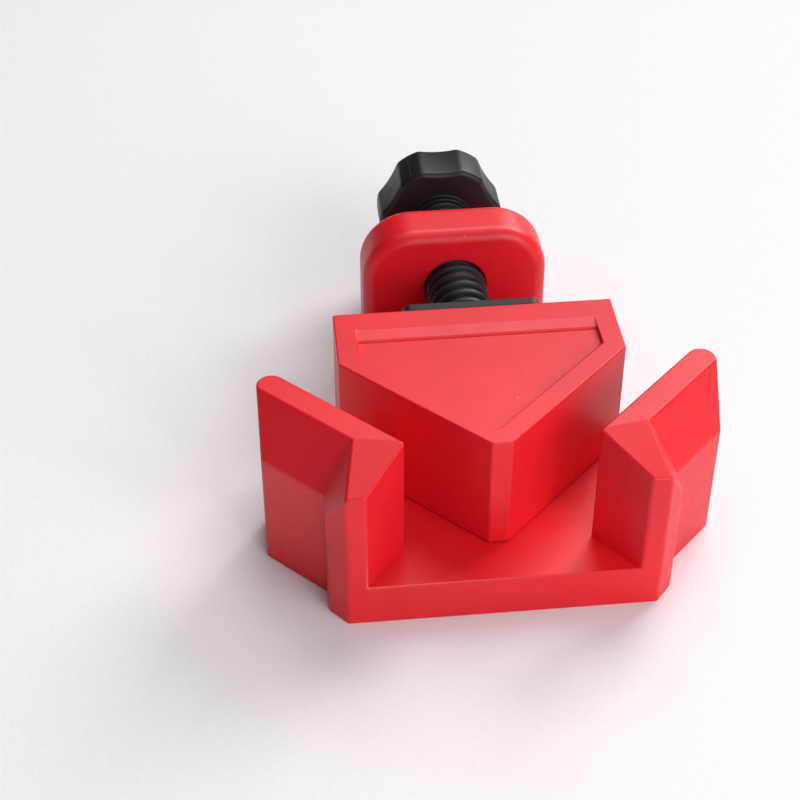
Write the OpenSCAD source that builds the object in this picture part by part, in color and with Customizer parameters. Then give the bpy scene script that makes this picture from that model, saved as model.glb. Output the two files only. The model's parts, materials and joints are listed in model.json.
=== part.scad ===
// Corner clamp that holds two boards at a right angle.
// A moulded body carries two fences and a yoke. A V jaw slides along the body,
// moved by a screw that runs through the yoke and ends in a knob.
// Frame: +X right, +Y from the open corner towards the knob, +Z up, in millimetres.
// Lengths along Y are laid out from the corner where the two fence planes meet.
// The part is then shifted so that its origin lies under the middle of its box.

/* [Floor] */
// Height of the floor above the underside
floor_z = 14.4; // [12.4:0.2:18]
// Thickness of the floor over the pockets in the underside
skin_t = 5; // [4:0.2:6]
// Thickness of the outer walls of the mouldings
wall_t = 3.6; // [2.6:0.2:4]
// Thickness of the ribs in the underside and in the jaw
rib_t = 2.6; // [1.6:0.2:3.4]
// Distance from the corner of the fence planes to the front face
front_y = 12.85; // [10:0.05:15]
// Half width of the open mouth in front of the corner
mouth_half = 41.5; // [38:0.5:44]
// Half width of the spine that joins the floor to the yoke
spine_half = 32; // [30:0.5:38]

/* [Fences] */
// Half width over the outer ends of the fences
fence_reach = 70.4; // [66:0.2:80]
// Height of the fences above the floor
fence_h = 42.7; // [38:0.1:50]
// Height above the floor at which the outer faces start to lean in
shoulder_h = 25; // [19:0.1:28]
// Thickness of a fence along its top
fence_top_t = 8.65; // [7:0.05:10]
// Thickness of a fence at its shoulder
fence_mid_t = 18.1; // [15:0.1:19.5]
// Thickness of a fence at its foot
fence_foot_t = 18.2; // [16.8:0.1:20.5]
// Distance from the corner to the front end of a fence, along the fence
fence_start = 40.4; // [38:0.1:43]
// Radius of the upright edge at the outer end of a fence
fence_end_r = 4.5; // [3:0.25:6]

/* [Buttresses] */
// Width of a buttress's front face
land_w = 5.7; // [4:0.1:9]
// Width of the chamfer beside the front face
bevel_x = 5.5; // [3:0.1:8]
// Depth of that chamfer
bevel_y = 6.4; // [4:0.05:8]
// Lean of the upper part of the outer side
cheek_lean = 9; // [7:0.1:11]

/* [Yoke] */
// Distance from the corner to the yoke's front face
yoke_y = 137; // [134:0.5:150]
// Thickness of the yoke
yoke_t = 19; // [15:0.2:22]
// Height of the yoke above the floor
yoke_h = 40.6; // [36:0.2:46]
// Radius of the yoke's top corners
yoke_corner_r = 18; // [10:0.5:22]
// Radius of the yoke's front and rear edges
yoke_edge_r = 4.4; // [1:0.2:5]

/* [Screw] */
// Height of the screw's axis above the floor
axis_h = 19.2; // [17:0.1:21]
// Outer radius of the screw's thread
screw_r = 10.5; // [9:0.1:11.5]
// Radius of the neck that turns in the thrust plate
neck_r = 5.5; // [4:0.1:7]
// Radius of the collar that the thrust plate keeps in the jaw
collar_r = 8; // [7.6:0.1:9]
// Thickness of the collar
collar_t = 4.2; // [3:0.1:5]
// Radius of the pilot on the end of the screw
pilot_r = 2.5; // [1.5:0.1:4]
// Chamfer at the start of the thread
thread_chamfer = 1.4; // [0.6:0.1:1.8]
// Radius of the spigot that carries the knob
spigot_r = 6.5; // [5.5:0.1:7]
// Distance of the spigot's drive flats from the axis
flat_d = 5; // [4.5:0.1:5.4]

/* [Knob] */
// Radius over the knob's lobes
knob_r = 22.4; // [19:0.2:26]
// Number of lobes
lobes = 6; // [5:1:8]
// Depth of the scallops between the lobes
scallop_depth = 1.8; // [1.4:0.1:3]
// Radius of the scallops
scallop_r = 40; // [14:0.5:50]
// Thickness of the knob's rim
rim_t = 17; // [13:0.5:20]
// Radius of the rim's edges
rim_edge_r = 2.2; // [1:0.2:2.6]
// Radius of the hub that faces the yoke
hub_r = 11.5; // [10.6:0.1:13]
// Length of the hub
hub_t = 2.5; // [1:0.1:5]
// Gap between the hub and the yoke
knob_gap = 19; // [14:0.5:26]
// Rise of the knob's rear face towards its cap
crown_h = 1.6; // [0.6:0.1:2.4]
// Radius of the cap
cap_r = 10; // [9.6:0.1:11.5]
// Depth of the well for the knob's screw, from the back of the rim
well_depth = 5; // [4:0.2:6]

/* [Jaw] */
// Thickness of the boards that the jaw is set to
board_t = 18; // [17:0.5:24]
// Half width of the jaw
jaw_half = 45; // [41:0.5:50]
// Distance from the corner to the jaw's back face
jaw_back = 96; // [94:0.5:98]
// Height of the jaw's top above the floor
jaw_h = 40; // [37:0.2:44]
// Half width of the flat on the jaw's nose
nose_half = 3; // [1:0.25:5]
// Depth of the flat strip behind the label field
back_rim = 9; // [6:0.25:11]
// Length of the ramp that leads down to the label field
ramp_len = 4.5; // [3:0.25:6]
// Drop of that ramp
ramp_drop = 1.1; // [0.4:0.1:1.6]
// Depth of the label field's edge
label_step = 0.6; // [0.3:0.1:1.2]
// Width of the rim on the other sides of the label field
label_rim = 7; // [5:0.25:9]
// Thickness of the jaw's roof under the label field
roof_t = 3.4; // [2.4:0.2:4.4]

/* [Thrust plate] */
// Half width of the thrust plate
plate_half = 22.5; // [20:0.25:26]
// Thickness of the thrust plate
plate_t = 3.5; // [2.5:0.1:5]
// Radius of the plate's corners
plate_corner_r = 3; // [1:0.25:4]
// Drop of the plate's top below the jaw's top
plate_drop = 0; // [0:0.1:2]
// Distance of the plate's screws from its edges
plate_screw_inset = 6; // [5:0.25:7]

/* [Guide] */
// Half width of the jaw's tongue in the guide slot
tongue_half = 6; // [5:0.25:8]
// Length of the tongue
tongue_len = 32; // [26:0.5:36]
// Distance of the tongue's rear end from the jaw's back face
tongue_inset = 6; // [5:0.5:10]
// Half width of the keeper
keeper_half = 13.5; // [12:0.25:15]
// Thickness of the keeper
keeper_t = 3; // [2:0.1:3.6]

/* [Fasteners] */
// Radius of the plate screws' and keeper screws' shanks
shank_r = 1.75; // [1.4:0.05:2]
// Radius of their heads
head_r = 3.5; // [3:0.1:3.8]
// Height of their heads
head_t = 2.2; // [1.6:0.1:2.6]
// Depth to which they enter the jaw
grip_len = 10; // [7:0.5:11]
// Thickness of the washers
washer_t = 1; // [0.6:0.1:1.4]
// Radius of the washer under the knob's screw
washer_r = 7.6; // [6.8:0.1:8.5]

/* [Fits] */
// Gap between sliding faces
slide_gap = 0.3; // [0.2:0.05:0.5]
// Gap around the screw in the yoke and the neck in the plate
turn_gap = 0.1; // [0.05:0.01:0.2]
// Gap left at a stop, at the ends of the travel
stop_gap = 0.5; // [0.3:0.1:1]

/* [Hidden] */

$fn = 96;
// Overshoot of cutting tools past the faces they open
over = 1;
// Size of the blocks that cut flat facets
cut_size = 300;
// Steps in a quarter turn of a rounded outline
round_steps = 8;
// Rows of cross ribs under the floor
rib_rows = 5;
root2 = sqrt(2);
red = "#c9181f";
black = "#232123";
steel = "#b9bcc0";

// Heights above the underside
top_z = floor_z + fence_h;
shoulder_z = floor_z + shoulder_h;
yoke_z = floor_z + yoke_h;
axis_z = floor_z + axis_h;
jaw_z = floor_z + jaw_h;
jaw_foot_z = floor_z + slide_gap;
pocket_z = floor_z - skin_t;
core_z = shoulder_z - wall_t;
label_drop = ramp_drop + label_step;
roof_z = jaw_z - label_drop - roof_t;

// Plan of a fence and its buttress on the right-hand side
fence_end = fence_reach * root2;
fence_end_run = fence_end_r / tan(22.5);
floor_end = fence_end - fence_end_run;
cheek_x = mouth_half + land_w + bevel_x;
cheek_top_x = cheek_x - cheek_lean;
// Height at which the leaning side meets the edge of the front face
land_top_z = shoulder_z + (fence_h - shoulder_h) * bevel_x / cheek_lean;
// Depth of the front facet below the corners that it is laid through, so that no four faces share a point
facet_drop = 0.15;

// Places along the screw
nose_y = board_t * root2;
plate_back = jaw_back + plate_t;
collar_back = jaw_back - turn_gap;
collar_front = collar_back - collar_t;
pocket_front = collar_front - turn_gap - washer_t;
thread_front = plate_back + stop_gap;
yoke_back = yoke_y + yoke_t;
hub_y = yoke_back + knob_gap;
knob_front = hub_y + hub_t;
knob_back = knob_front + rim_t;
washer_seat = knob_back - well_depth;
spigot_end = washer_seat - slide_gap;
cap_seat = washer_seat + washer_t + head_t + stop_gap;
cap_back = knob_back + crown_h;
frame_y = (front_y + cap_back) / 2;

// Travel of the jaw to each stop, and the guide slot that it needs
travel_in = knob_gap - stop_gap;
travel_out = yoke_y - plate_back - head_t - stop_gap;
tongue_back = jaw_back - tongue_inset;
tongue_front = tongue_back - tongue_len;
tongue_z = pocket_z - slide_gap;
keeper_z = tongue_z - keeper_t;
slot_front = tongue_front - travel_in - stop_gap;
slot_back = tongue_back + travel_out + stop_gap;

// Point at a distance along the right-hand fence and a distance outwards from its inner face
function along(run, out) = [(run + out) / root2, (run - out) / root2];

// Points on an arc
function arc(centre, r, from, to, steps) =
    [for (i = [0:steps]) let (a = from + (to - from) * i / steps) centre + r * [cos(a), sin(a)]];

// Outline moved inwards, for points in counter-clockwise order
function unit(v) = v / norm(v);
function left_of(v) = [-v[1], v[0]];
function inset_corner(a, b, c, d) =
    let (n1 = left_of(unit(b - a)), n2 = left_of(unit(c - b))) b + d * (n1 + n2) / (1 + n1 * n2);
function inset(points, d) =
    let (n = len(points))
    [for (i = [0:n - 1]) inset_corner(points[(i + n - 1) % n], points[i], points[(i + 1) % n], d)];

// The same outline on the other side of the middle plane, in the order that closes it
function mirrored(points) =
    [for (i = [len(points) - 1:-1:0]) [-points[i][0], points[i][1]]];

foot_in = along(fence_start, 0);
mouth = [mouth_half, front_y];
land_end = [mouth_half + land_w, front_y];
cheek_front = [cheek_x, front_y + bevel_y];
cheek_back = [cheek_x, cheek_x - fence_mid_t * root2];
ridge = [cheek_top_x, cheek_top_x - fence_top_t * root2];
floor_half = [mouth, foot_in, along(floor_end, 0), [spine_half, floor_end * root2 - spine_half],
    [spine_half, yoke_y]];
jaw_side = [[nose_half, nose_y + nose_half], [jaw_half, nose_y + jaw_half], [jaw_half, jaw_back]];
jaw_plan = concat(jaw_side, mirrored(jaw_side));

// Moves a sub-part from the corner's layout to the part's frame
module placed() {
    translate([0, -frame_y, 0]) children();
}

// Repeats a right-hand feature on both sides
module both_sides() {
    children();
    mirror([1, 0, 0]) children();
}

// Everything on one side of a plane
module beyond(point, normal) {
    translate(point)
        rotate([0, acos(normal[2] / norm(normal)), atan2(normal[1], normal[0])])
            translate([-cut_size / 2, -cut_size / 2, 0]) cube(cut_size);
}

// Turns a shape drawn along +Z so that it runs along +Y on the screw's axis, from y
module on_axis(y) {
    translate([0, y, axis_z]) rotate([-90, 0, 0]) children();
}

// Block between two corners
module block(low, high) {
    translate(low) cube(high - low);
}

// Profile of a fence, extruded along it
module fence_bar() {
    profile = [[0, 0], [fence_foot_t, 0], [fence_mid_t, shoulder_z], [fence_top_t, top_z], [0, top_z]];
    rotate([90, 0, -45])
        translate([0, 0, -fence_end])
            linear_extrude(fence_end - fence_start) polygon(profile);
}

// Outline that ends a fence with a rounded upright edge
module fence_limit() {
    centre = [fence_reach - fence_end_r, fence_reach - fence_end_run];
    outside = fence_foot_t + over;
    linear_extrude(top_z)
        polygon(concat([along(fence_start, 0), along(fence_start, outside),
            [fence_reach, fence_reach - outside * root2]],
            arc(centre, fence_end_r, 0, 135, round_steps)));
}

// Front pillar of a fence, with its outer side leaning in above the shoulder
module buttress() {
    difference() {
        linear_extrude(top_z)
            polygon([foot_in, mouth, land_end, cheek_front, cheek_back, ridge]);
        beyond([cheek_x, 0, shoulder_z], [fence_h - shoulder_h, 0, cheek_lean]);
    }
}

// Fence and buttress under one sloping facet at the front
module fence() {
    high_in = [foot_in[0], foot_in[1], top_z - facet_drop];
    high_out = [ridge[0], ridge[1], top_z - facet_drop];
    low = [land_end[0], land_end[1], land_top_z - facet_drop];
    difference() {
        union() {
            intersection() {
                fence_bar();
                fence_limit();
            }
            buttress();
        }
        beyond(high_in, cross(low - high_in, high_out - high_in));
    }
}

// Floor, front bar and spine
module floor_slab() {
    run_in = fence_start + fence_top_t;
    middle = fence_top_t / 2;
    half = [mouth, along(run_in, middle), along(floor_end, middle),
        [spine_half, floor_end * root2 - spine_half], [spine_half, yoke_y + yoke_t / 2]];
    linear_extrude(floor_z) polygon(concat(half, mirrored(half)));
}

// Section of the yoke, rounded on its two outer edges
function yoke_section(reach) = concat([[0, 0], [reach - yoke_edge_r, 0]],
    arc([reach - yoke_edge_r, yoke_edge_r], yoke_edge_r, -90, 0, round_steps),
    arc([reach - yoke_edge_r, yoke_t - yoke_edge_r], yoke_edge_r, 0, 90, round_steps),
    [[0, yoke_t]]);

// Upright that the screw runs through, with round corners and edges
module yoke() {
    flat_half = spine_half - yoke_corner_r;
    corner_z = yoke_z - yoke_corner_r;
    translate([0, yoke_y, 0]) {
        both_sides() {
            linear_extrude(corner_z) polygon(yoke_section(spine_half));
            translate([flat_half, 0, corner_z])
                rotate([-90, 0, 0]) rotate([0, 0, -90])
                    rotate_extrude(angle = 90) polygon(yoke_section(yoke_corner_r));
        }
        translate([-flat_half, 0, corner_z])
            rotate([0, -90, 0]) mirror([0, 0, 1])
                linear_extrude(2 * flat_half) polygon(yoke_section(yoke_corner_r));
    }
}

// Pockets under the floor, left between the outer wall, the guide's walls and the ribs
module floor_pockets() {
    row = (yoke_y - front_y) / (rib_rows + 1);
    guide_half = keeper_half + stop_gap + rib_t;
    translate([0, 0, -over]) linear_extrude(pocket_z + over) difference() {
        polygon(inset(concat(floor_half, mirrored(floor_half)), wall_t));
        translate([-guide_half, slot_front - rib_t - over])
            square([2 * guide_half, slot_back - slot_front + 2 * (rib_t + over)]);
        translate([-rib_t / 2, 0]) square([rib_t, yoke_y]);
        for (i = [1:rib_rows])
            translate([-cut_size / 2, front_y + i * row - rib_t / 2]) square([cut_size, rib_t]);
    }
}

// Cores in a fence and in its buttress
module fence_cores() {
    core_w = fence_mid_t - 2 * wall_t;
    core_start = cheek_back[1] * root2 + fence_mid_t - wall_t;
    core_end = (fence_reach - wall_t) * root2 - fence_mid_t + wall_t;
    core_len = (core_end - core_start - rib_t) / 2;
    translate([0, 0, -over]) {
        linear_extrude(core_z + over) {
            polygon(inset([foot_in, mouth, land_end, cheek_front, cheek_back], wall_t));
            rotate(45)
                for (start = [core_start, core_end - core_len])
                    translate([start, wall_t - fence_mid_t]) square([core_len, core_w]);
        }
    }
}

// Cores in the yoke on each side of the screw
module yoke_core() {
    inner = screw_r + wall_t;
    block([inner, yoke_y + wall_t, -over],
        [spine_half - wall_t, yoke_back - wall_t, yoke_z - yoke_corner_r]);
}

// Channel for the keeper, and the slot above it for the jaw's tongue
module guide() {
    keeper_room = keeper_half + stop_gap;
    slot_half = tongue_half + slide_gap;
    block([-keeper_room, slot_front - over, -over], [keeper_room, slot_back + over, pocket_z]);
    block([-slot_half, slot_front, 0], [slot_half, slot_back, floor_z + over]);
}

// Body: floor, front bar, fences and yoke in one moulding
module clamp_body() {
    color(red) placed() difference() {
        union() {
            floor_slab();
            both_sides() fence();
            yoke();
        }
        floor_pockets();
        both_sides() fence_cores();
        both_sides() yoke_core();
        guide();
        on_axis(yoke_y - over) cylinder(r = screw_r + turn_gap, h = yoke_t + 2 * over);
    }
}

// Places of the plate's screws, on the jaw's back face
module at_plate_screws() {
    low_z = jaw_foot_z + plate_screw_inset + slide_gap;
    high_z = jaw_z - plate_drop - plate_screw_inset;
    x = plate_half - plate_screw_inset;
    for (side = [-1, 1], z = [low_z, high_z])
        translate([side * x, jaw_back, z]) rotate([-90, 0, 0]) children();
}

// Places of the keeper's screws, on the end of the jaw's tongue
module at_keeper_screws() {
    for (share = [0.25, 0.75])
        translate([0, tongue_front + share * tongue_len, tongue_z]) rotate([180, 0, 0]) children();
}

// Screw with a domed head that stands out along +Z, its seat lifted by what it holds
module fastener(held) {
    slot_w = head_r / 4;
    slot_half = head_r * 0.6;
    edge_r = head_t * 0.6;
    translate([0, 0, -grip_len]) cylinder(r = shank_r, h = grip_len + held);
    translate([0, 0, held]) difference() {
        rotate_extrude() polygon(concat([[0, 0], [head_r, 0]],
            arc([head_r - edge_r, head_t - edge_r], edge_r, 0, 90, round_steps), [[0, head_t]]));
        for (turn = [0, 90])
            rotate(turn) block([-slot_half, -slot_w / 2, head_t / 2], [slot_half, slot_w / 2, head_t + over]);
    }
}

// Hole that such a screw is driven into
module fastener_hole() {
    translate([0, 0, -grip_len - stop_gap]) cylinder(r = shank_r, h = grip_len + stop_gap + over);
}

// Hollow of the jaw, open below
module jaw_hollow() {
    translate([0, 0, jaw_foot_z - over])
        linear_extrude(roof_z - jaw_foot_z + over) polygon(inset(jaw_plan, wall_t));
}

// Sunk field on the jaw's top, with a ramp behind it
module label_field() {
    field_back = jaw_back - back_rim - ramp_len;
    field_half = jaw_half - label_rim;
    translate([0, 0, jaw_z - label_drop]) linear_extrude(label_drop + over) intersection() {
        polygon(inset(jaw_plan, label_rim));
        translate([-cut_size / 2, 0]) square([cut_size, field_back]);
    }
    translate([field_half, 0, 0]) rotate([90, 0, -90])
        linear_extrude(2 * field_half)
            polygon([[-field_back, jaw_z - ramp_drop], [-field_back, jaw_z + over],
                [-field_back - ramp_len, jaw_z + over], [-field_back - ramp_len, jaw_z]]);
}

// Ribs and bosses in the hollow, and the tongue that runs in the guide slot
module jaw_inside() {
    boss_len = jaw_back - pocket_front + wall_t;
    tongue_top = jaw_foot_z + 2 * wall_t;
    rib_front = nose_y + nose_half + wall_t / 2;
    rib_top = roof_z + roof_t / 2;
    block([-rib_t / 2, rib_front, jaw_foot_z], [rib_t / 2, jaw_back - wall_t / 2, rib_top]);
    for (y = [tongue_front, tongue_back - rib_t])
        intersection() {
            block([-jaw_half, y, jaw_foot_z], [jaw_half, y + rib_t, rib_top]);
            linear_extrude(rib_top) polygon(inset(jaw_plan, wall_t / 2));
        }
    on_axis(jaw_back - boss_len) cylinder(r = collar_r + slide_gap + wall_t, h = boss_len - wall_t / 2);
    at_plate_screws()
        translate([0, 0, -grip_len - 2 * stop_gap - rib_t])
            cylinder(r = shank_r + rib_t, h = grip_len);
    block([-tongue_half, tongue_front, tongue_z], [tongue_half, tongue_back, tongue_top]);
}

// Jaw: V block that presses the boards against the fences
module moving_jaw() {
    color(red) placed() difference() {
        union() {
            difference() {
                translate([0, 0, jaw_foot_z]) linear_extrude(jaw_z - jaw_foot_z) polygon(jaw_plan);
                jaw_hollow();
                label_field();
            }
            jaw_inside();
        }
        on_axis(pocket_front) cylinder(r = collar_r + slide_gap, h = jaw_back - pocket_front + over);
        at_plate_screws() fastener_hole();
        at_keeper_screws() fastener_hole();
    }
}

// Plate that keeps the screw's collar in the jaw, slotted to pass over the neck
module thrust_plate() {
    low_z = jaw_foot_z + slide_gap;
    high_z = jaw_z - plate_drop;
    slot_r = neck_r + slide_gap;
    round_in = plate_half - plate_corner_r;
    outline = concat(arc([round_in, low_z + plate_corner_r], plate_corner_r, -90, 0, round_steps),
        arc([round_in, high_z - plate_corner_r], plate_corner_r, 0, 90, round_steps));
    color(black) placed() difference() {
        translate([0, plate_back, 0]) rotate([90, 0, 0])
            linear_extrude(plate_t) difference() {
                polygon(concat(outline, mirrored(outline)));
                polygon(concat(arc([0, axis_z], slot_r, 0, 180, 2 * round_steps),
                    [[-slot_r, low_z - over], [slot_r, low_z - over]]));
            }
        at_plate_screws() cylinder(r = shank_r + slide_gap, h = plate_t + over);
    }
}

// Screws of the thrust plate
module plate_screws() {
    color(steel) placed() at_plate_screws() fastener(plate_t);
}

// Washer that the end of the screw pushes on
module thrust_washer() {
    hole_r = pilot_r + slide_gap;
    color(steel) placed() on_axis(pocket_front) difference() {
        cylinder(r = collar_r, h = washer_t);
        translate([0, 0, -over]) cylinder(r = hole_r, h = washer_t + 2 * over);
    }
}

// Plate under the floor that keeps the tongue in its slot
module guide_keeper() {
    color(black) placed() difference() {
        block([-keeper_half, tongue_front, keeper_z], [keeper_half, tongue_back, tongue_z]);
        at_keeper_screws() cylinder(r = shank_r + slide_gap, h = keeper_t + over);
    }
}

// Screws of the keeper
module keeper_screws() {
    color(steel) placed() at_keeper_screws() fastener(keeper_t);
}

// Screw: pilot, collar, neck, thread and the flatted spigot for the knob
module lead_screw() {
    profile = [[0, pocket_front + stop_gap], [pilot_r, pocket_front + stop_gap], [pilot_r, collar_front],
        [collar_r, collar_front], [collar_r, collar_back], [neck_r, collar_back], [neck_r, thread_front],
        [screw_r - thread_chamfer, thread_front], [screw_r, thread_front + thread_chamfer],
        [screw_r, hub_y], [spigot_r, hub_y], [spigot_r, spigot_end], [0, spigot_end]];
    color(black) placed() difference() {
        on_axis(0) rotate_extrude() polygon(profile);
        for (side = [-1, 1])
            translate([side * (flat_d + screw_r), (hub_y + spigot_end + over) / 2, axis_z])
                cube([2 * screw_r, spigot_end - hub_y + over, 2 * screw_r], center = true);
        on_axis(spigot_end) fastener_hole();
    }
}

// Knob: lobed rim with a round hub, a flatted bore and a well for its screw
module knob() {
    scallop_x = knob_r - scallop_depth + scallop_r;
    rim_in = knob_r - rim_edge_r;
    profile = concat([[0, hub_y], [hub_r, hub_y], [hub_r, knob_front], [rim_in, knob_front]],
        arc([rim_in, knob_front + rim_edge_r], rim_edge_r, -90, 0, round_steps),
        arc([rim_in, knob_back - rim_edge_r], rim_edge_r, 0, 90, round_steps),
        [[cap_r + wall_t, cap_back], [0, cap_back]]);
    color(black) placed() difference() {
        intersection() {
            on_axis(0) rotate_extrude() polygon(profile);
            on_axis(hub_y - over) linear_extrude(cap_back - hub_y + 2 * over) difference() {
                circle(r = knob_r + over);
                for (i = [0:lobes - 1])
                    rotate((i + 0.5) * 360 / lobes) translate([scallop_x, 0]) circle(r = scallop_r);
            }
        }
        intersection() {
            on_axis(hub_y - over) cylinder(r = spigot_r + turn_gap, h = washer_seat - hub_y + 2 * over);
            block([-flat_d - turn_gap, hub_y - over, 0], [flat_d + turn_gap, washer_seat + over, 2 * axis_z]);
        }
        on_axis(washer_seat) cylinder(r = washer_r + slide_gap, h = cap_back - washer_seat + over);
        on_axis(cap_seat) cylinder(r = cap_r + turn_gap, h = cap_back - cap_seat + over);
    }
}

// Washer under the knob's screw
module knob_washer() {
    color(steel) placed() on_axis(washer_seat) difference() {
        cylinder(r = washer_r, h = washer_t);
        translate([0, 0, -over]) cylinder(r = shank_r + slide_gap, h = washer_t + 2 * over);
    }
}

// Screw that holds the knob on the spigot
module knob_screw() {
    color(steel) placed() on_axis(spigot_end) fastener(washer_seat + washer_t - spigot_end);
}

// Cap that closes the knob's well
module knob_cap() {
    rim_r = cap_r - crown_h / 2;
    color(black) placed() on_axis(0) rotate_extrude()
        polygon([[0, cap_seat], [cap_r, cap_seat], [cap_r, cap_back - crown_h / 2], [rim_r, cap_back],
            [0, cap_back]]);
}

clamp_body();
moving_jaw();
thrust_plate();
plate_screws();
thrust_washer();
guide_keeper();
keeper_screws();
lead_screw();
knob();
knob_washer();
knob_screw();
knob_cap();
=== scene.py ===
import json
from math import cos, pi, radians, sin

import bmesh
import bpy
from mathutils import Matrix, Vector

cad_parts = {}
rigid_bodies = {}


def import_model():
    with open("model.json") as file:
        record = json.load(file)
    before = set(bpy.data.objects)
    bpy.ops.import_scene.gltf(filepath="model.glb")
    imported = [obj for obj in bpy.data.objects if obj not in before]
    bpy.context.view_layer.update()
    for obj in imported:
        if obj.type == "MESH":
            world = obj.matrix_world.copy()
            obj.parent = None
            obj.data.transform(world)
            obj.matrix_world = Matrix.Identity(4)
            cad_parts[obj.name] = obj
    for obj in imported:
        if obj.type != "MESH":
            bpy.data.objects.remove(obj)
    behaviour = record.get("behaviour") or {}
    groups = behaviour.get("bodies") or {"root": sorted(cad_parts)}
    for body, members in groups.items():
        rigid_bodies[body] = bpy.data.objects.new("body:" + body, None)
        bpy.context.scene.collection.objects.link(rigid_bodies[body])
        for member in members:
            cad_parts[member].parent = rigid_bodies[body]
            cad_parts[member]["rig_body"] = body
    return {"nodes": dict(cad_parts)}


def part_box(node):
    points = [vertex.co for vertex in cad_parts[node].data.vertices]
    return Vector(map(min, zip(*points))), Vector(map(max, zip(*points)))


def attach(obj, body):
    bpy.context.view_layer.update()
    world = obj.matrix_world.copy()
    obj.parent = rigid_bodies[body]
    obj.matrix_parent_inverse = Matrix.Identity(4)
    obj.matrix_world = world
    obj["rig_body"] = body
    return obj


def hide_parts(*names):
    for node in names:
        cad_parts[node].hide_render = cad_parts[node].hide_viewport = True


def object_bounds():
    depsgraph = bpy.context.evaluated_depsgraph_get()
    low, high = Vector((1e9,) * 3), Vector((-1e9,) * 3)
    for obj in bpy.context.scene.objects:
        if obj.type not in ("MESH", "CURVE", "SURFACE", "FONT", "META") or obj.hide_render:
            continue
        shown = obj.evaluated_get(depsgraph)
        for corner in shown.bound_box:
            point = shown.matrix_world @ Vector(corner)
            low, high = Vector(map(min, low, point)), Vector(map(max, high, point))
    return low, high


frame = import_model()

cad_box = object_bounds()
MM = 0.001

# Camera, fitted to the clamp's own edges: place of the eye from the front face, and its direction
EYE_X = -65.65 * MM
EYE_BEFORE_FRONT = 349.55 * MM
EYE_Z = 371.8 * MM
VIEW_AZIMUTH = radians(-5.576)
VIEW_ELEVATION = radians(39.159)
VIEW_ROLL = radians(-0.143)
SENSOR_MM = 36.0
FOCAL_PIXELS = 1680.0
FRAME_PIXELS = 800
NEAREST_SEEN = 10.0 * MM

# Screw, along Y on its axis
SCREW_PITCH = 5.0 * MM
SCREW_ROOT_R = 8.3 * MM
SCREW_SEGMENTS = 96
ROWS_PER_TURN = 20
FLANK_STEEPNESS = 0.72
THREAD_LEAD_IN = 1.4 * MM
PILOT_R = 2.5 * MM
PILOT_LENGTH = 0.6 * MM
COLLAR_LENGTH = 4.2 * MM
COLLAR_R = 8.0 * MM
NECK_R = 5.5 * MM
NECK_LENGTH = 4.1 * MM
SPIGOT_R = 6.5 * MM
SPIGOT_FLAT = 5.0 * MM
SMALLEST_SINE = 0.01
SCREW_SHARP_ANGLE = radians(50.0)

# Knob, along Y on the screw's axis
KNOB_SEGMENTS = 480
LOBES = 6
SCALLOP_DEPTH = 1.8 * MM
SCALLOP_R = 40.0 * MM
LOBE_BLEND = 0.5 * MM
SEAM_TURN = radians(-30.0)
SEAM_HALF = radians(0.75)
SEAM_RISE = 0.1 * MM
RIM_EDGE_R = 2.0 * MM
HUB_R = 11.5 * MM
HUB_LENGTH = 2.5 * MM
HUB_EDGE = 0.4 * MM
CROWN_R = 13.6 * MM
CROWN_RISE = 1.6 * MM
CAP_GAP = 0.1 * MM
WELL_GAP = 0.4 * MM
EDGE_STEPS = 6
KNOB_SHARP_ANGLE = radians(35.0)

# Mouldings: how the CAD mesh is made whole, and which edges are rounded or stay sharp
WELD_GAP = 0.004 * MM
SHORT_EDGE_SHARE = 0.9
MIDDLE_SHARE = 0.001
FLAT_ANGLE = radians(0.4)
SHARP_ANGLE = radians(19.0)
RAMP_ANGLE = radians(10.0)
ROUNDED_ANGLE = radians(24.0)
UNDERSIDE_Z = 0.5 * MM
UNDERSIDE_SHARE = 0.35
ROUNDING_STEPS = 3

# Width of the rounding on each kind of piece
BODY_ROUNDING = 0.7 * MM
JAW_ROUNDING = 0.5 * MM
PLATE_ROUNDING = 0.4 * MM
CAP_ROUNDING = 0.3 * MM
HARDWARE_ROUNDING = 0.1 * MM

# Colours, in linear light
RED = (0.80, 0.0093, 0.0192)
RED_DUST = (0.85, 0.30, 0.30)
BLACK = (0.0083, 0.0078, 0.0088)
BLACK_DUST = (0.10, 0.10, 0.10)
STEEL = (0.56, 0.57, 0.59)
SHEET_WHITE = (0.865, 0.83, 0.865)

# Gloss of the plastics
RED_ROUGHNESS = 0.40
RED_SPECULAR = 0.44
BLACK_ROUGHNESS = 0.45
BLACK_SPECULAR = 0.38
SMOOTHER = 0.05
ROUGHER = 0.06

# Noise in the plastics: scale, detail and roughness of each, and the part of its values that shows
GRAIN_NOISE = (1500.0, 3.0, 0.6)
FLOW_NOISE = (28.0, 2.0, 0.5)
SCUFF_NOISE = (240.0, 4.0, 0.65)
SPECK_NOISE = (700.0, 0.0, 0.5)
GRAIN_RANGE = (0.62, 0.75)
FLOW_RANGE = (0.35, 0.65)
SCUFF_RANGE = (0.3, 0.7)
SPECK_RANGE = (0.90, 0.92)
PLASTIC_SHADE = 0.88
HALF_MIXED = 0.5

# Colour sockets of the mix node, by number because its sockets for other kinds of data have the same names
MIX_FIRST = 6
MIX_SECOND = 7
MIX_RESULT = 2

# Bump: strength and height
FLOW_BUMP = (0.04, 0.6 * MM)
GRAIN_BUMP = (0.10, 0.05 * MM)
STEEL_BUMP = (0.12, 0.02 * MM)
SHEET_BUMP = (0.25, 0.6 * MM)

# Steel of the screws and washers
STEEL_NOISE = (420.0, 3.0, 0.6)
STEEL_MARKS_NOISE = (3800.0, 1.0, 0.5)
STEEL_SHADE = 0.72
STEEL_SMOOTHEST = 0.26
STEEL_ROUGHEST = 0.44

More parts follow.
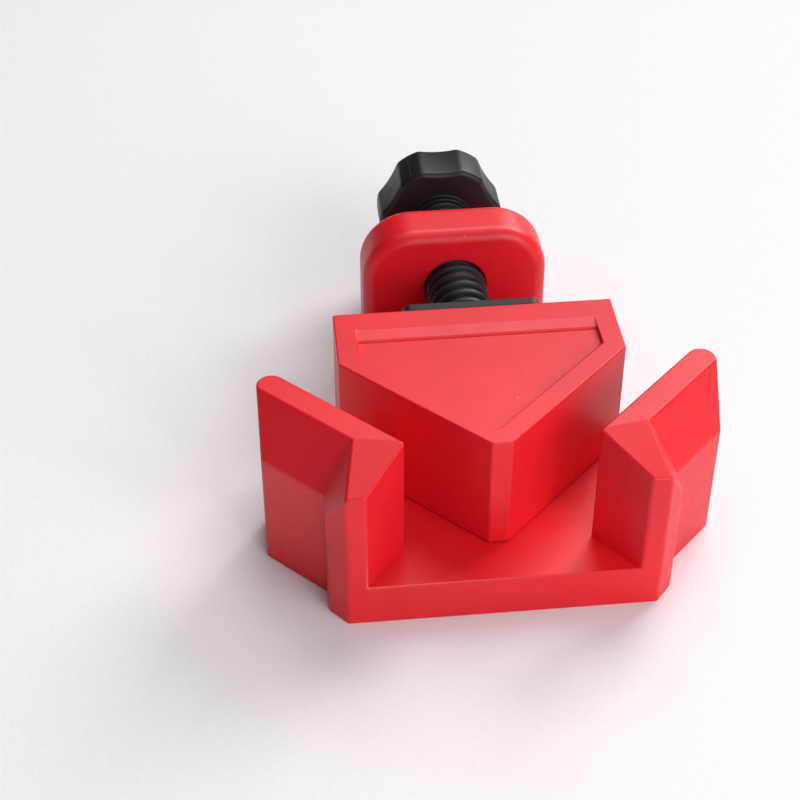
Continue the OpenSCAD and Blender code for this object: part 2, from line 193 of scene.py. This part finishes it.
# Floor: a plain white sheet
SHEET_HALF = 6.0
SHEET_NOISE = (420.0, 3.0, 0.6)
SHEET_SHADE = 0.97
SHEET_ROUGHNESS = 0.85

# Light: the surroundings, and the lamps with their place, side of the square and power in watts
FILL_WHITE = (1.0, 0.99, 0.985)
FILL_STRENGTH = 0.03
LIGHT_WHITE = (1.0, 1.0, 1.0)
LIGHT_TARGET = (0.0, -0.02, 0.03)
LAMPS = (
    ("right_front", (0.83, -1.02, 0.70), 0.8, 9.9),
    ("front", (0.30, -1.26, 0.73), 0.8, 4.6),
    ("front_low", (0.0, -1.42, 0.36), 0.6, 1.2),
    ("overhead", (0.0, 0.0, 1.0), 0.8, 2.2),
    ("right_back", (1.80, 1.84, 1.74), 1.5, 64.0),
    ("back", (0.60, 1.69, 2.64), 1.5, 35.0),
)


def add_node(tree, kind, **values):
    """Adds a shader node and sets its properties or its input sockets by name."""
    made = tree.nodes.new(kind)
    for name, value in values.items():
        if hasattr(made, name):
            setattr(made, name, value)
        else:
            made.inputs[name.replace("_", " ").title()].default_value = value
    return made


def shaded(name):
    """A new node material and its shader."""
    material = bpy.data.materials.new(name)
    material.use_nodes = True
    return material, material.node_tree, material.node_tree.nodes["Principled BSDF"]


def noise(tree, place, scale, detail, roughness):
    """A noise texture in the object's own metres."""
    made = add_node(tree, "ShaderNodeTexNoise", scale=scale, detail=detail, roughness=roughness)
    tree.links.new(place, made.inputs["Vector"])
    return made.outputs["Fac"]


def between(tree, factor, low, high, start=0.0, stop=1.0):
    """A value that goes from low to high as factor goes from start to stop."""
    made = add_node(tree, "ShaderNodeMapRange")
    tree.links.new(factor, made.inputs["Value"])
    for socket, value in (("From Min", start), ("From Max", stop), ("To Min", low), ("To Max", high)):
        made.inputs[socket].default_value = value
    return made.outputs["Result"]


def mixed(tree, factor, first, second):
    """A colour between two colours, each a constant or the output of a node."""
    made = add_node(tree, "ShaderNodeMix", data_type="RGBA")
    tree.links.new(factor, made.inputs["Factor"])
    for socket, value in ((made.inputs[MIX_FIRST], first), (made.inputs[MIX_SECOND], second)):
        if isinstance(value, tuple):
            socket.default_value = (*value, 1.0)
        else:
            tree.links.new(value, socket)
    return made.outputs[MIX_RESULT]


def bumped(tree, shader, layers):
    """Bump from several heights, each with a strength and a distance."""
    normal = None
    for height, strength, distance in layers:
        made = add_node(tree, "ShaderNodeBump", strength=strength, distance=distance)
        tree.links.new(height, made.inputs["Height"])
        if normal:
            tree.links.new(normal, made.inputs["Normal"])
        normal = made.outputs["Normal"]
    tree.links.new(normal, shader.inputs["Normal"])


def moulded_plastic(name, colour, dust, roughness, specular):
    """Injection-moulded plastic: a fine eroded grain, slow changes of tone, and a few pale specks of dust."""
    material, tree, shader = shaded(name)
    place = add_node(tree, "ShaderNodeTexCoord").outputs["Object"]
    grain = noise(tree, place, *GRAIN_NOISE)
    flow = noise(tree, place, *FLOW_NOISE)
    scuff = noise(tree, place, *SCUFF_NOISE)
    specks = noise(tree, place, *SPECK_NOISE)
    shade = tuple(PLASTIC_SHADE * part for part in colour)
    toned = mixed(tree, between(tree, flow, 0.0, 1.0, *FLOW_RANGE), shade, colour)
    mottled = mixed(tree, between(tree, grain, 0.0, HALF_MIXED, *GRAIN_RANGE), toned, shade)
    dusty = mixed(tree, between(tree, specks, 0.0, HALF_MIXED, *SPECK_RANGE), mottled, dust)
    tree.links.new(dusty, shader.inputs["Base Color"])
    scuffed = between(tree, scuff, roughness - SMOOTHER, roughness + ROUGHER, *SCUFF_RANGE)
    tree.links.new(scuffed, shader.inputs["Roughness"])
    shader.inputs["Specular IOR Level"].default_value = specular
    bumped(tree, shader, [(flow, *FLOW_BUMP), (grain, *GRAIN_BUMP)])
    return material


def plated_steel(name):
    """Zinc-plated steel of the small screws and washers, with a fine uneven surface."""
    material, tree, shader = shaded(name)
    place = add_node(tree, "ShaderNodeTexCoord").outputs["Object"]
    mottle = noise(tree, place, *STEEL_NOISE)
    marks = noise(tree, place, *STEEL_MARKS_NOISE)
    dull = tuple(STEEL_SHADE * part for part in STEEL)
    tree.links.new(mixed(tree, mottle, dull, STEEL), shader.inputs["Base Color"])
    tree.links.new(between(tree, mottle, STEEL_SMOOTHEST, STEEL_ROUGHEST), shader.inputs["Roughness"])
    shader.inputs["Metallic"].default_value = 1.0
    bumped(tree, shader, [(marks, *STEEL_BUMP)])
    return material


def paper(name, colour):
    """Matt sheet without gloss, with a fine grain."""
    material, tree, shader = shaded(name)
    place = add_node(tree, "ShaderNodeTexCoord").outputs["Object"]
    grain = noise(tree, place, *SHEET_NOISE)
    shade = tuple(SHEET_SHADE * part for part in colour)
    tree.links.new(mixed(tree, grain, shade, colour), shader.inputs["Base Color"])
    shader.inputs["Roughness"].default_value = SHEET_ROUGHNESS
    shader.inputs["Specular IOR Level"].default_value = 0.0
    bumped(tree, shader, [(grain, *SHEET_BUMP)])
    return material


def added(piece_name, mesh, node_name, material):
    """Puts a mesh in the scene in place of a CAD node, on the node's body."""
    mesh.materials.append(material)
    piece = bpy.data.objects.new(piece_name, mesh)
    bpy.context.scene.collection.objects.link(piece)
    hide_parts(node_name)
    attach(piece, frame["nodes"][node_name]["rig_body"])
    return piece


def edge_share(edge):
    """Share of the full rounding that an edge gets: all of it on outer edges, less on the underside."""
    if edge.calc_face_angle_signed(0.0) < ROUNDED_ANGLE:
        return 0.0
    if max(vertex.co.z for vertex in edge.verts) < UNDERSIDE_Z:
        return UNDERSIDE_SHARE
    return 1.0


def nearest_to_planes(faces, middle):
    """The point nearest to the planes of several faces, with the larger faces counting for more."""
    pull = max(face.calc_area() for face in faces)
    square = Matrix.Identity(3) * (MIDDLE_SHARE * pull)
    side = middle * (MIDDLE_SHARE * pull)
    for face in faces:
        for row in range(3):
            square[row] += face.normal * (face.normal[row] * face.calc_area())
        side += face.normal * (face.normal.dot(face.verts[0].co) * face.calc_area())
    return square.inverted() @ side


def close_short_edges(work, shortest):
    """Closes the edges that are too short to be rounded, each on the corner where its faces meet."""
    corners = []
    seen = set()
    for start in work.verts:
        group = [start]
        # The group grows while it is walked, until no short edge leads out of it
        for vertex in group:
            if vertex not in seen:
                seen.add(vertex)
                short_edges = [edge for edge in vertex.link_edges if edge.calc_length() < shortest]
                group += [edge.other_vert(vertex) for edge in short_edges]
        group = list(dict.fromkeys(group))
        if len(group) > 1:
            middle = sum((vertex.co for vertex in group), Vector()) / len(group)
            faces = list(dict.fromkeys(face for vertex in group for face in vertex.link_faces))
            corners.append((group, nearest_to_planes(faces, middle)))
    for group, corner in corners:
        for vertex in group:
            vertex.co = corner
    bmesh.ops.remove_doubles(work, verts=work.verts, dist=WELD_GAP)
    bmesh.ops.dissolve_degenerate(work, dist=WELD_GAP, edges=work.edges)


def moulding(piece_name, node_name, material, rounding, sharp_angle=SHARP_ANGLE):
    """Copy of a CAD node with its flat faces made whole and its outer edges rounded."""
    work = bmesh.new()
    work.from_mesh(frame["nodes"][node_name].data)
    bmesh.ops.remove_doubles(work, verts=work.verts, dist=WELD_GAP)
    bmesh.ops.dissolve_limit(work, angle_limit=FLAT_ANGLE, verts=work.verts, edges=work.edges)
    close_short_edges(work, SHORT_EDGE_SHARE * rounding)
    share = work.edges.layers.float.new("bevel_weight_edge")
    for face in work.faces:
        face.smooth = True
    for edge in work.edges:
        edge[share] = edge_share(edge)
        edge.smooth = edge.calc_face_angle(0.0) < sharp_angle
    mesh = bpy.data.meshes.new(piece_name)
    work.to_mesh(mesh)
    work.free()
    piece = added(piece_name, mesh, node_name, material)
    bevel = piece.modifiers.new("rounded_edges", "BEVEL")
    bevel.limit_method = "WEIGHT"
    bevel.width = rounding
    bevel.segments = ROUNDING_STEPS
    bevel.use_clamp_overlap = False
    normals = piece.modifiers.new("flat_faces", "WEIGHTED_NORMAL")
    normals.keep_sharp = True


def even_turns(count):
    """Angles about the screw's axis, evenly spaced."""
    return [2.0 * pi * i / count for i in range(count)]


def thread_radius(turn, y, low_y, root_r, crest_r):
    """Radius of the rounded right-hand thread at an angle about +Y and a place along it."""
    wave = cos(2.0 * pi * ((y - low_y) / SCREW_PITCH - turn / (2.0 * pi)))
    share = min(max(0.5 + FLANK_STEEPNESS * wave, 0.0), 1.0)
    smooth = share * share * (3.0 - 2.0 * share)
    return root_r + (crest_r - root_r) * smooth


def flatted_radius(turn):
    """Radius of the spigot with its two drive flats."""
    across = abs(sin(turn))
    return min(SPIGOT_R, SPIGOT_FLAT / max(across, SMALLEST_SINE))


def screw_rings():
    """Rings along +Y, each a place and the radius at every angle: pilot, collar, neck, thread and spigot."""
    low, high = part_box("lead_screw")
    crest_r = (high[0] - low[0]) / 2.0
    collar_y = low[1] + PILOT_LENGTH
    neck_y = collar_y + COLLAR_LENGTH
    thread_y = neck_y + NECK_LENGTH
    hub_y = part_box("knob")[0][1]
    turns = even_turns(SCREW_SEGMENTS)
    round_parts = ((PILOT_R, low[1], collar_y), (COLLAR_R, collar_y, neck_y), (NECK_R, neck_y, thread_y))
    rings = []
    for radius, start, stop in round_parts:
        rings += [(start, [radius] * SCREW_SEGMENTS), (stop, [radius] * SCREW_SEGMENTS)]
    rows = round((hub_y - thread_y) / SCREW_PITCH * ROWS_PER_TURN)
    for row in range(rows + 1):
        y = thread_y + (hub_y - thread_y) * row / rows
        limit = crest_r - max(THREAD_LEAD_IN - (y - thread_y), 0.0)
        rings.append((y, [min(thread_radius(t, y, thread_y, SCREW_ROOT_R, crest_r), limit) for t in turns]))
    rings += [(y, [flatted_radius(t) for t in turns]) for y in (hub_y, high[1])]
    return turns, rings


def ringed_mesh(name, turns, rings, closed_ring):
    """Skin over rings about the screw's axis, joined end to end or closed by a flat face at each end."""
    low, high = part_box("lead_screw")
    axis_z = (low[2] + high[2]) / 2.0
    count = len(turns)
    points = [(r * sin(t), y, axis_z + r * cos(t)) for y, radii in rings for t, r in zip(turns, radii)]
    faces = []
    for k in range(len(rings) if closed_ring else len(rings) - 1):
        near = k * count
        far = (k + 1) % len(rings) * count
        for i in range(count):
            j = (i + 1) % count
            faces.append((near + i, near + j, far + j, far + i))
    if not closed_ring:
        faces.append(tuple(reversed(range(count))))
        faces.append(tuple(range((len(rings) - 1) * count, len(rings) * count)))
    mesh = bpy.data.meshes.new(name)
    mesh.from_pydata(points, [], faces)
    mesh.validate()
    return mesh


def threaded_screw(material):
    """The screw with its thread, closed at both ends."""
    turns, rings = screw_rings()
    mesh = ringed_mesh("threaded_screw", turns, rings, False)
    mesh.set_sharp_from_angle(angle=SCREW_SHARP_ANGLE)
    added("threaded_screw", mesh, "lead_screw", material)


def seam_rise(turn):
    """Height of the mould's seam, which runs along the middle of two lobes on opposite sides."""
    off = abs((turn - SEAM_TURN + pi / 2.0) % pi - pi / 2.0)
    return SEAM_RISE * max(1.0 - off / SEAM_HALF, 0.0)


def lobed_radius(turn, rim_r):
    """Radius of the knob's outline at an angle: a circle with scallops between the lobes."""
    step = 2.0 * pi / LOBES
    away = (turn + pi / 2.0) % step - step / 2.0
    centre = rim_r - SCALLOP_DEPTH + SCALLOP_R
    scallop = centre * cos(away) - (SCALLOP_R ** 2 - (centre * sin(away)) ** 2) ** 0.5
    blend = max(LOBE_BLEND - abs(rim_r - scallop), 0.0)
    return min(rim_r, scallop) - blend * blend / (4.0 * LOBE_BLEND) + seam_rise(turn)


def knob_rings():
    """Rings of the knob: hub, front face, rim with rounded edges, crown, cap seat, well and bore."""
    low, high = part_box("knob")
    rim_r = (high[0] - low[0]) / 2.0
    front = low[1] + HUB_LENGTH
    back = high[1] - CROWN_RISE
    cap_low, cap_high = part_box("knob_cap")
    washer_low, washer_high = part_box("knob_washer")
    cap_r = (cap_high[0] - cap_low[0]) / 2.0 + CAP_GAP
    well_r = (washer_high[0] - washer_low[0]) / 2.0 + WELL_GAP
    turns = even_turns(KNOB_SEGMENTS)
    outline = [lobed_radius(t, rim_r) for t in turns]
    arc = [pi / 2.0 * i / EDGE_STEPS for i in range(EDGE_STEPS + 1)]

    def round_ring(y, radius):
        return y, [radius] * KNOB_SEGMENTS

    def rim_ring(face_y, inwards, angle):
        inset = RIM_EDGE_R * (1.0 - cos(angle))
        return face_y + inwards * RIM_EDGE_R * (1.0 - sin(angle)), [r - inset for r in outline]

    rings = [round_ring(low[1], SPIGOT_R), round_ring(low[1], HUB_R - HUB_EDGE)]
    rings += [round_ring(low[1] + HUB_EDGE, HUB_R), round_ring(front - HUB_EDGE, HUB_R)]
    rings += [round_ring(front, HUB_R + HUB_EDGE)]
    rings += [rim_ring(front, 1.0, angle) for angle in reversed(arc)]
    rings += [rim_ring(back, -1.0, angle) for angle in arc]
    rings += [round_ring(high[1], CROWN_R), round_ring(high[1], cap_r)]
    rings += [round_ring(cap_low[1], cap_r), round_ring(cap_low[1], well_r)]
    rings += [round_ring(washer_low[1], well_r), round_ring(washer_low[1], SPIGOT_R)]
    return turns, rings


def lobed_knob(material):
    """The knob with its edges rounded along the lobes and the scallops alike."""
    turns, rings = knob_rings()
    mesh = ringed_mesh("lobed_knob", turns, rings, True)
    mesh.set_sharp_from_angle(angle=KNOB_SHARP_ANGLE)
    added("lobed_knob", mesh, "knob", material)


def floor_square(name, half, material):
    """Square of floor about the middle, at the height on which the clamp stands."""
    mesh = bpy.data.meshes.new(name)
    corners = [(-half, -half, 0.0), (half, -half, 0.0), (half, half, 0.0), (-half, half, 0.0)]
    mesh.from_pydata(corners, [], [(0, 1, 2, 3)])
    mesh.materials.append(material)
    piece = bpy.data.objects.new(name, mesh)
    bpy.context.scene.collection.objects.link(piece)


def soft_world():
    """Dim even surroundings that lighten the shadows a little."""
    world = bpy.data.worlds.new("studio")
    bpy.context.scene.world = world
    world.use_nodes = True
    background = world.node_tree.nodes["Background"]
    background.inputs["Color"].default_value = (*FILL_WHITE, 1.0)
    background.inputs["Strength"].default_value = FILL_STRENGTH


def softbox(name, place, size, power):
    """Square area light that looks at the clamp."""
    light = bpy.data.lights.new(name, "AREA")
    light.size = size
    light.energy = power
    light.color = LIGHT_WHITE
    lamp = bpy.data.objects.new(name, light)
    lamp.location = place
    lamp.rotation_euler = (Vector(LIGHT_TARGET) - Vector(place)).to_track_quat("-Z", "Y").to_euler()
    bpy.context.scene.collection.objects.link(lamp)


def photo_camera():
    """Camera at the photograph's place, angle and focal length."""
    front_y = cad_box[0][1]
    level = cos(VIEW_ELEVATION)
    back = Vector((sin(VIEW_AZIMUTH) * level, -cos(VIEW_AZIMUTH) * level, sin(VIEW_ELEVATION)))
    flat_right = Vector((cos(VIEW_AZIMUTH), sin(VIEW_AZIMUTH), 0.0))
    flat_up = back.cross(flat_right)
    right = flat_right * cos(VIEW_ROLL) + flat_up * sin(VIEW_ROLL)
    up = flat_up * cos(VIEW_ROLL) - flat_right * sin(VIEW_ROLL)
    lens = bpy.data.cameras.new("camera")
    lens.sensor_width = SENSOR_MM
    lens.lens = SENSOR_MM * FOCAL_PIXELS / FRAME_PIXELS
    lens.clip_start = NEAREST_SEEN
    camera = bpy.data.objects.new("camera", lens)
    turn = Matrix((right, up, back)).transposed().to_4x4()
    camera.matrix_world = Matrix.Translation((EYE_X, front_y - EYE_BEFORE_FRONT, EYE_Z)) @ turn
    bpy.context.scene.collection.objects.link(camera)
    bpy.context.scene.camera = camera


photo_camera()
floor_square("sheet", SHEET_HALF, paper("white_sheet", SHEET_WHITE))
soft_world()
for lamp_name, lamp_place, lamp_size, lamp_power in LAMPS:
    softbox(lamp_name, lamp_place, lamp_size, lamp_power)

red_plastic = moulded_plastic("red_moulding", RED, RED_DUST, RED_ROUGHNESS, RED_SPECULAR)
black_plastic = moulded_plastic("black_moulding", BLACK, BLACK_DUST, BLACK_ROUGHNESS, BLACK_SPECULAR)
steel = plated_steel("zinc_plate")

moulding("body_moulding", "clamp_body", red_plastic, BODY_ROUNDING)
moulding("jaw_moulding", "moving_jaw", red_plastic, JAW_ROUNDING, RAMP_ANGLE)
moulding("thrust_plate_moulding", "thrust_plate", black_plastic, PLATE_ROUNDING)
moulding("keeper_moulding", "guide_keeper", black_plastic, PLATE_ROUNDING)
moulding("cap_moulding", "knob_cap", black_plastic, CAP_ROUNDING)
for hardware in ("plate_screws", "thrust_washer", "keeper_screws", "knob_washer", "knob_screw"):
    moulding(hardware + "_plated", hardware, steel, HARDWARE_ROUNDING)
threaded_screw(black_plastic)
lobed_knob(black_plastic)

bpy.context.scene.view_settings.view_transform = "Standard"
